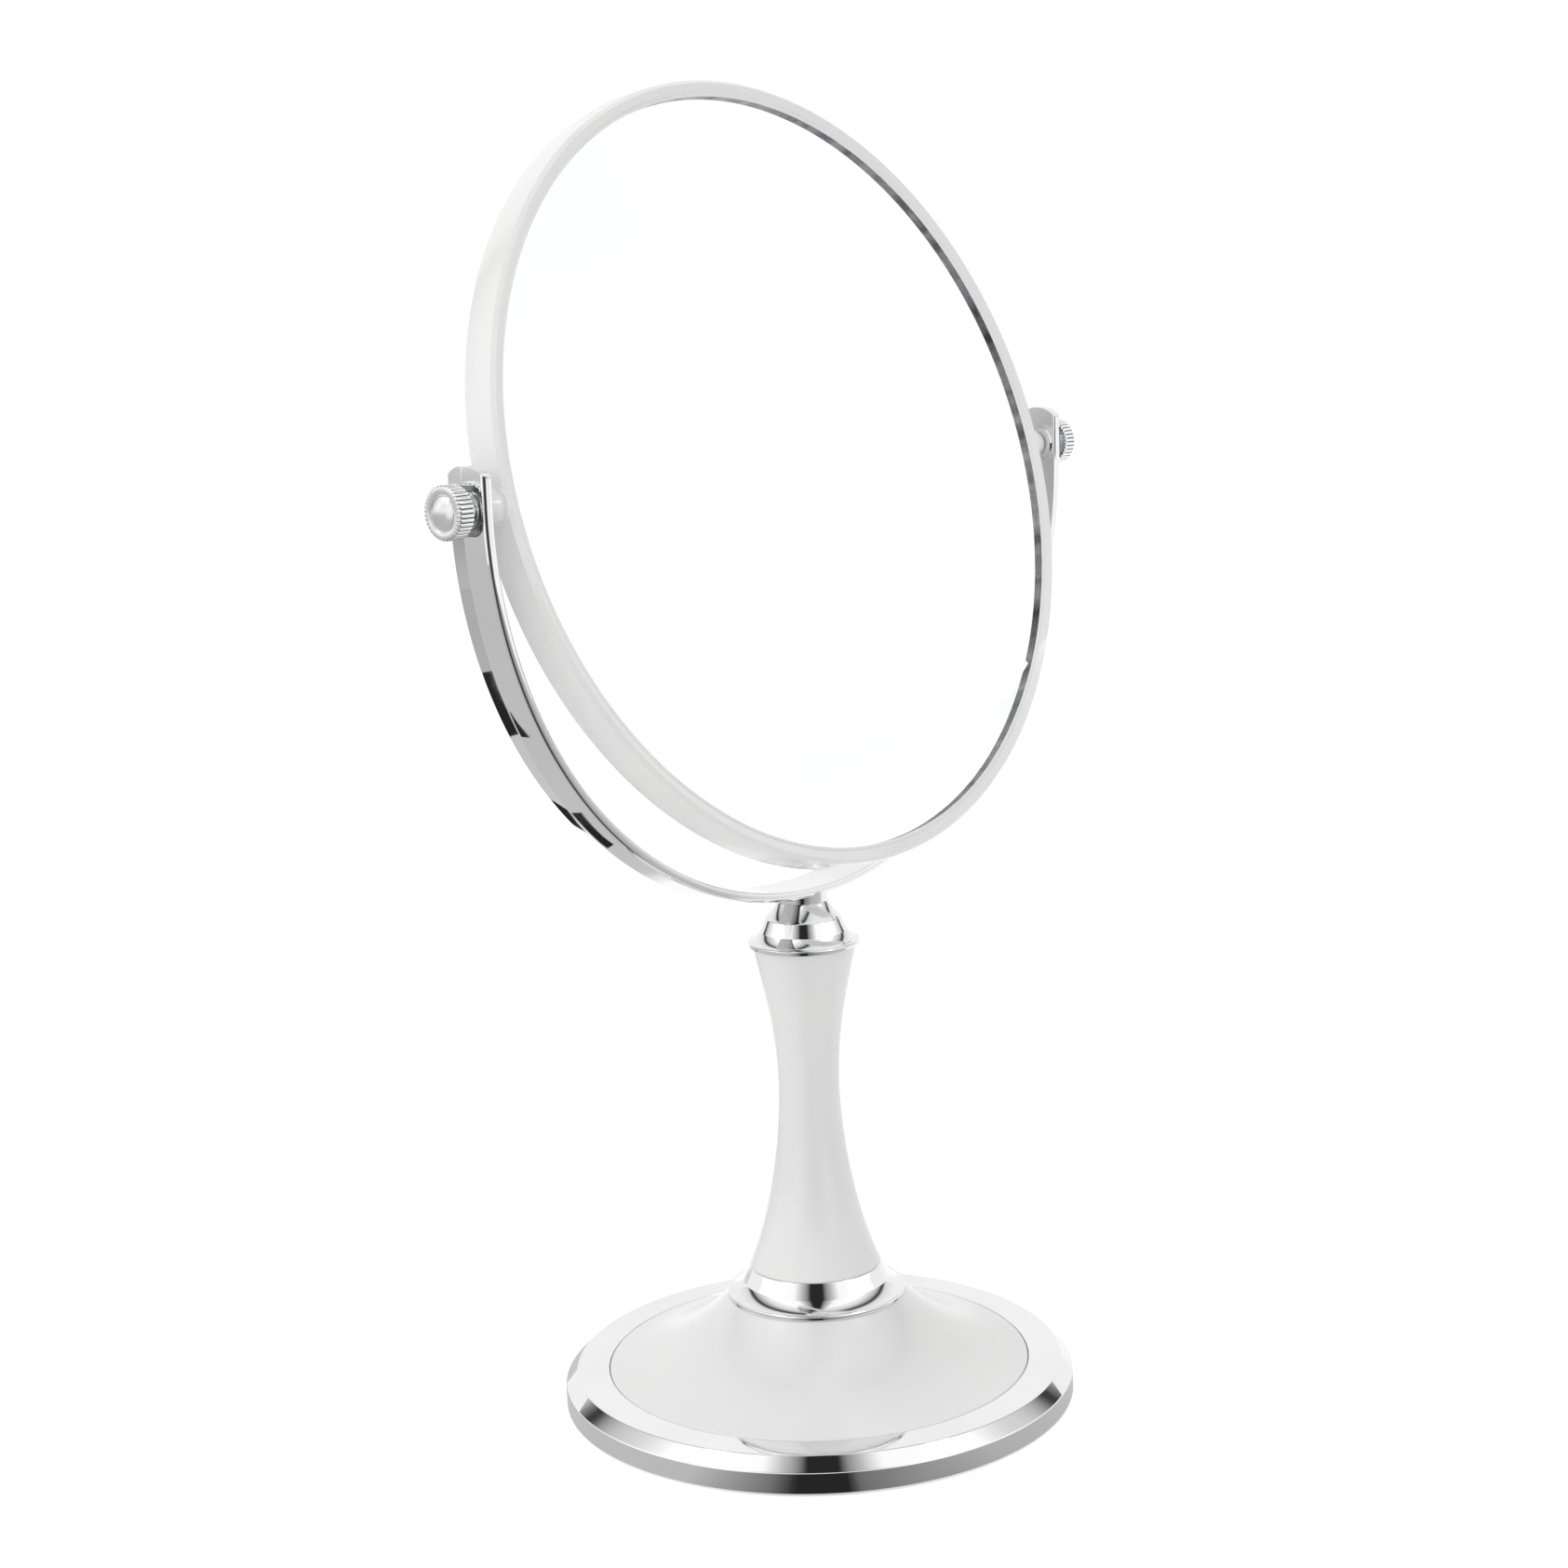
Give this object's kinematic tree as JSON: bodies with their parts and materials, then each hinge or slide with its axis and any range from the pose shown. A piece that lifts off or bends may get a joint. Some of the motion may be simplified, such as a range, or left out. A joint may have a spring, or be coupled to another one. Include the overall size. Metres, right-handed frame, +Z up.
{
  "type": "vanity mirror",
  "caption": "Round double-sided vanity mirror in a white rim, tilting on thumb screws in a chrome half-ring yoke above a waisted white stem and a round chrome-edged base.",
  "frame": {"origin": "centre of the base where it meets the table", "axes": "+Z up, -Y towards the person at the mirror, X along the tilting axis; the head leans back 15.1 degrees at rest, as pictured"},
  "size_m": [0.2314, 0.134, 0.3393],
  "materials": {
    "chrome": "bright chrome plate",
    "white_gloss": "glossy white moulding",
    "mirror_glass": "silvered glass",
    "zinc_steel": "zinc plated",
    "brass": "turned brass",
    "cast_weight": "raw casting",
    "black_plastic": "fine matt moulding",
    "foam_pad": "closed-cell anti-slip foam"
  },
  "bodies": {
    "base": {"anti_slip_pad": "foam_pad", "bottom_cover": "black_plastic", "cover_screws": "zinc_steel", "base_ring": "chrome", "base_cone": "white_gloss", "base_weight": "cast_weight", "tie_rod": "zinc_steel", "tie_rod_nut": "zinc_steel", "tie_rod_washer": "zinc_steel", "lower_collar": "chrome", "stem": "white_gloss", "upper_cap": "chrome", "yoke": "chrome", "flat_washer_left": "zinc_steel", "flat_washer_right": "zinc_steel"},
    "mirror_head": {"front_rim": "white_gloss", "rear_rim": "white_gloss", "plane_glass": "mirror_glass", "magnifying_glass": "mirror_glass", "spacer_pads": "foam_pad", "threaded_insert_left": "brass", "threaded_insert_right": "brass"},
    "left_washer": {"spring_washer_left": "zinc_steel"},
    "left_knob": {"knob_left": "chrome", "knob_screw_left": "zinc_steel"},
    "right_washer": {"spring_washer_right": "zinc_steel"},
    "right_knob": {"knob_right": "chrome", "knob_screw_right": "zinc_steel"}
  },
  "joints": [
    {"name": "mirror_tilt", "type": "hinge", "parent": "base", "child": "mirror_head", "pos_m": [0, 0, 0.2424], "axis": [1, 0, 0], "continuous": true},
    {"name": "left_knob_travel", "type": "slide", "parent": "mirror_head", "child": "left_washer", "axis": [-1, 0, 0], "range_m": [0, 0.0014]},
    {"name": "left_knob_turn", "type": "hinge", "parent": "left_washer", "child": "left_knob", "pos_m": [-0.1126, 0, 0.2424], "axis": [-1, 0, 0], "range_deg": [0, 720.1]},
    {"name": "right_knob_travel", "type": "slide", "parent": "mirror_head", "child": "right_washer", "axis": [1, 0, 0], "range_m": [0, 0.0014]},
    {"name": "right_knob_turn", "type": "hinge", "parent": "right_washer", "child": "right_knob", "pos_m": [0.1126, 0, 0.2424], "axis": [1, 0, 0], "range_deg": [0, 720.1]}
  ],
  "couplings": [
    {"joint": "left_knob_turn", "follows": "left_knob_travel", "rad_per_m": 8976},
    {"joint": "right_knob_turn", "follows": "right_knob_travel", "rad_per_m": 8976}
  ]
}
